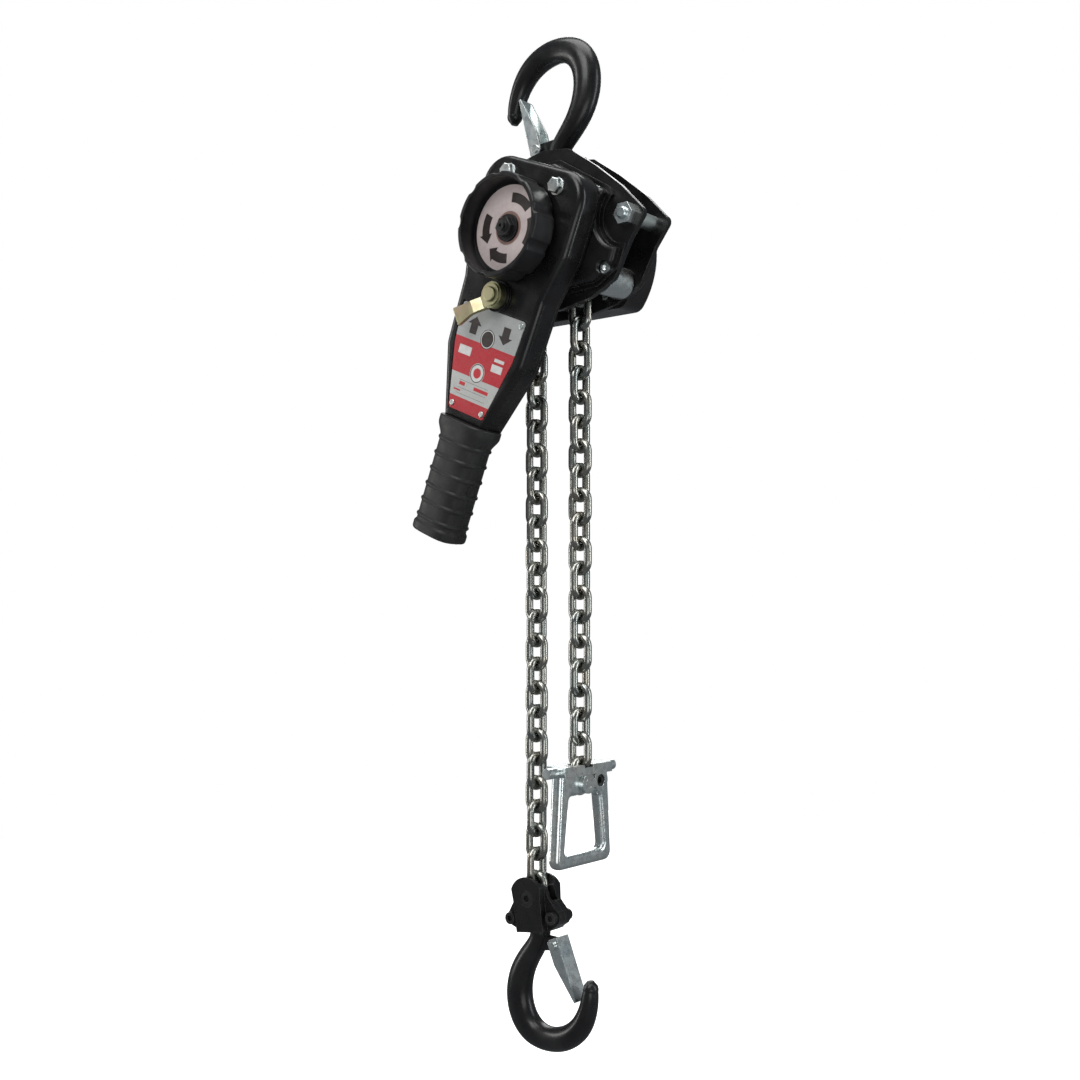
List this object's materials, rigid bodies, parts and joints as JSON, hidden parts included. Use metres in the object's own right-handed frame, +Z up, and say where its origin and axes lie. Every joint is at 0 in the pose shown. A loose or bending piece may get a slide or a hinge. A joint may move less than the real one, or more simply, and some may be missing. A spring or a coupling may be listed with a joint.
{
  "type": "lever chain hoist",
  "caption": "Hand lever chain hoist with a latched top hook, swung lever with rubber grip, handwheel, load chain with a latched bottom hook, and a tail chain with a ring stopper.",
  "frame": {"origin": "bearing point of the top hook, where the hoist hangs", "axes": "+Z up along the hanging line, -Y towards the handwheel, +X to the right seen from the handwheel"},
  "size_m": [0.1998, 0.1146, 0.7587],
  "materials": {
    "forged_black": "satin",
    "zinc": "bright zinc plate",
    "white_zinc": "bright zinc plate",
    "satin_black": "satin",
    "black_bolt": "black oxide",
    "chain_steel": "galvanised",
    "yellow_zinc": "yellow chromate",
    "machined_steel": "machined",
    "cast_sheave": "cast",
    "bronze": "sintered",
    "brake_lining": "matte",
    "spring_steel": "oiled",
    "black_plastic": "satin",
    "printed_plate": "satin",
    "rubber": "matte"
  },
  "bodies": {
    "top_hook": {"top_hook": "forged_black", "top_latch_pin": "zinc"},
    "top_latch": {"top_latch": "zinc", "top_latch_spring": "spring_steel"},
    "yoke": {"yoke_front": "satin_black", "yoke_rear": "satin_black"},
    "frame": {"side_plate_front": "satin_black", "side_plate_rear": "satin_black", "yoke_pin": "black_bolt", "stay_bolts": "zinc", "stay_spacers": "white_zinc", "stay_nuts": "zinc", "roller_axles": "zinc", "chain_stripper": "zinc", "sheave_bushes": "bronze", "gear_cover": "satin_black", "cover_screws": "zinc", "brake_cover": "satin_black", "friction_discs": "brake_lining", "ratchet_disc": "machined_steel", "pawl_posts": "machined_steel", "brake_pawl_springs": "spring_steel"},
    "guide_roller_left": {"guide_roller_left": "zinc"},
    "guide_roller_right": {"guide_roller_right": "zinc"},
    "brake_pawl_upper": {"brake_pawl_upper": "machined_steel"},
    "brake_pawl_lower": {"brake_pawl_lower": "machined_steel"},
    "lever": {"lever_case_front": "satin_black", "lever_case_rear": "satin_black", "lever_bolts": "zinc", "name_plate": "printed_plate", "name_plate_rivets": "white_zinc", "lever_grip": "rubber"},
    "selector": {"selector_knob": "yellow_zinc", "drive_pawl": "machined_steel"},
    "drive": {"pinion_shaft": "machined_steel", "friction_hub": "machined_steel", "change_gear": "machined_steel", "handwheel": "black_plastic", "drive_spring": "spring_steel", "wheel_nut": "machined_steel"},
    "disc_gear_left": {"disc_gear_left": "machined_steel"},
    "disc_gear_right": {"disc_gear_right": "machined_steel"},
    "sheave": {"load_sheave": "cast_sheave", "load_gear": "machined_steel", "wrapped_chain": "chain_steel"},
    "load_fall": {"load_chain_upper": "chain_steel"},
    "load_fall_lower": {"load_chain_lower": "chain_steel"},
    "tail_fall": {"tail_chain_upper": "chain_steel"},
    "tail_fall_lower": {"tail_chain_lower": "chain_steel"},
    "bottom_block": {"block_half_front": "satin_black", "block_half_rear": "satin_black", "chain_pin": "black_bolt", "block_bolts": "black_bolt"},
    "bottom_hook": {"bottom_hook": "forged_black", "bottom_latch_pin": "zinc"},
    "bottom_latch": {"bottom_latch": "zinc", "bottom_latch_spring": "spring_steel"},
    "stopper": {"stopper_ring": "zinc", "stopper_pin": "zinc", "stopper_bolt": "black_bolt"}
  },
  "joints": [
    {"name": "top_latch_swing", "type": "hinge", "parent": "top_hook", "child": "top_latch", "pos_m": [-0.0166, 0, -0.0615], "axis": [0, 1, 0], "range_deg": [0, 42], "stiffness_Nm_per_rad": 0.05, "springref_deg": -28.65},
    {"name": "yoke_swivel", "type": "hinge", "parent": "top_hook", "child": "yoke", "pos_m": [0, 0, -0.075], "axis": [0, 0, 1], "continuous": true},
    {"name": "frame_swing", "type": "hinge", "parent": "yoke", "child": "frame", "pos_m": [0, 0, -0.0935], "axis": [0, 1, 0], "range_deg": [-10, 10]},
    {"name": "roller_spin_left", "type": "hinge", "parent": "frame", "child": "guide_roller_left", "pos_m": [-0.048, 0, -0.168], "axis": [0, 1, 0], "continuous": true},
    {"name": "roller_spin_right", "type": "hinge", "parent": "frame", "child": "guide_roller_right", "pos_m": [0.05, 0, -0.17], "axis": [0, 1, 0], "continuous": true},
    {"name": "brake_pawl_upper_lift", "type": "hinge", "parent": "frame", "child": "brake_pawl_upper", "pos_m": [0.027, 0, -0.10283], "axis": [0, -1, 0], "range_deg": [0, 9], "stiffness_Nm_per_rad": 0.02, "springref_deg": -22.92},
    {"name": "brake_pawl_lower_lift", "type": "hinge", "parent": "frame", "child": "brake_pawl_lower", "pos_m": [-0.027, 0, -0.16717], "axis": [0, -1, 0], "range_deg": [0, 9], "stiffness_Nm_per_rad": 0.02, "springref_deg": -22.92},
    {"name": "lever_swing", "type": "hinge", "parent": "frame", "child": "lever", "pos_m": [0, 0, -0.135], "axis": [0, 1, 0], "range_deg": [-33, 33]},
    {"name": "selector_turn", "type": "hinge", "parent": "lever", "child": "selector", "pos_m": [-0.01837, 0, -0.17935], "axis": [0, -1, 0], "range_deg": [0, 90]},
    {"name": "drive_spin", "type": "hinge", "parent": "frame", "child": "drive", "pos_m": [0, 0, -0.135], "axis": [0, 1, 0], "range_deg": [-33.5, 33.5]},
    {"name": "disc_gear_left_spin", "type": "hinge", "parent": "frame", "child": "disc_gear_left", "pos_m": [-0.0315, 0, -0.135], "axis": [0, 1, 0], "range_deg": [-13.6, 13.6]},
    {"name": "disc_gear_right_spin", "type": "hinge", "parent": "frame", "child": "disc_gear_right", "pos_m": [0.0315, 0, -0.135], "axis": [0, 1, 0], "range_deg": [-13.6, 13.6]},
    {"name": "sheave_spin", "type": "hinge", "parent": "frame", "child": "sheave", "pos_m": [0, 0, -0.135], "axis": [0, 1, 0], "range_deg": [-6.9, 6.9]},
    {"name": "load_fall_lift", "type": "slide", "parent": "frame", "child": "load_fall", "axis": [0.5255, 0, 0.8508], "range_m": [-0.003, 0.003]},
    {"name": "tail_fall_lift", "type": "slide", "parent": "frame", "child": "tail_fall", "axis": [-0.5255, 0, 0.8508], "range_m": [-0.003, 0.003]},
    {"name": "load_fall_swing", "type": "hinge", "parent": "load_fall", "child": "load_fall_lower", "pos_m": [-0.0209, 0, -0.3561], "axis": [1, 0, 0], "range_deg": [-25, 25]},
    {"name": "tail_fall_swing", "type": "hinge", "parent": "tail_fall", "child": "tail_fall_lower", "pos_m": [0.0209, 0, -0.3561], "axis": [1, 0, 0], "range_deg": [-25, 25]},
    {"name": "block_swing", "type": "hinge", "parent": "load_fall_lower", "child": "bottom_block", "pos_m": [-0.0209, 0, -0.6255], "axis": [0, 1, 0], "range_deg": [-8, 22]},
    {"name": "bottom_hook_swivel", "type": "hinge", "parent": "bottom_block", "child": "bottom_hook", "pos_m": [-0.0209, 0, -0.6255], "axis": [-0.1392, 0, 0.9903], "continuous": true},
    {"name": "bottom_latch_swing", "type": "hinge", "parent": "bottom_hook", "child": "bottom_latch", "pos_m": [0.00048, 0, -0.65834], "axis": [0, 1, 0], "range_deg": [0, 42], "stiffness_Nm_per_rad": 0.05, "springref_deg": -28.65},
    {"name": "stopper_swing", "type": "hinge", "parent": "tail_fall_lower", "child": "stopper", "pos_m": [0.0209, 0, -0.5357], "axis": [1, 0, 0], "range_deg": [-7, 7]}
  ],
  "couplings": [
    {"joint": "drive_spin", "follows": "lever_swing", "ratio": 1},
    {"joint": "disc_gear_left_spin", "follows": "lever_swing", "ratio": -0.4},
    {"joint": "disc_gear_right_spin", "follows": "lever_swing", "ratio": -0.4},
    {"joint": "sheave_spin", "follows": "lever_swing", "ratio": 0.2},
    {"joint": "load_fall_lift", "follows": "lever_swing", "m_per_rad": 0.00488},
    {"joint": "tail_fall_lift", "follows": "lever_swing", "m_per_rad": -0.00488}
  ]
}
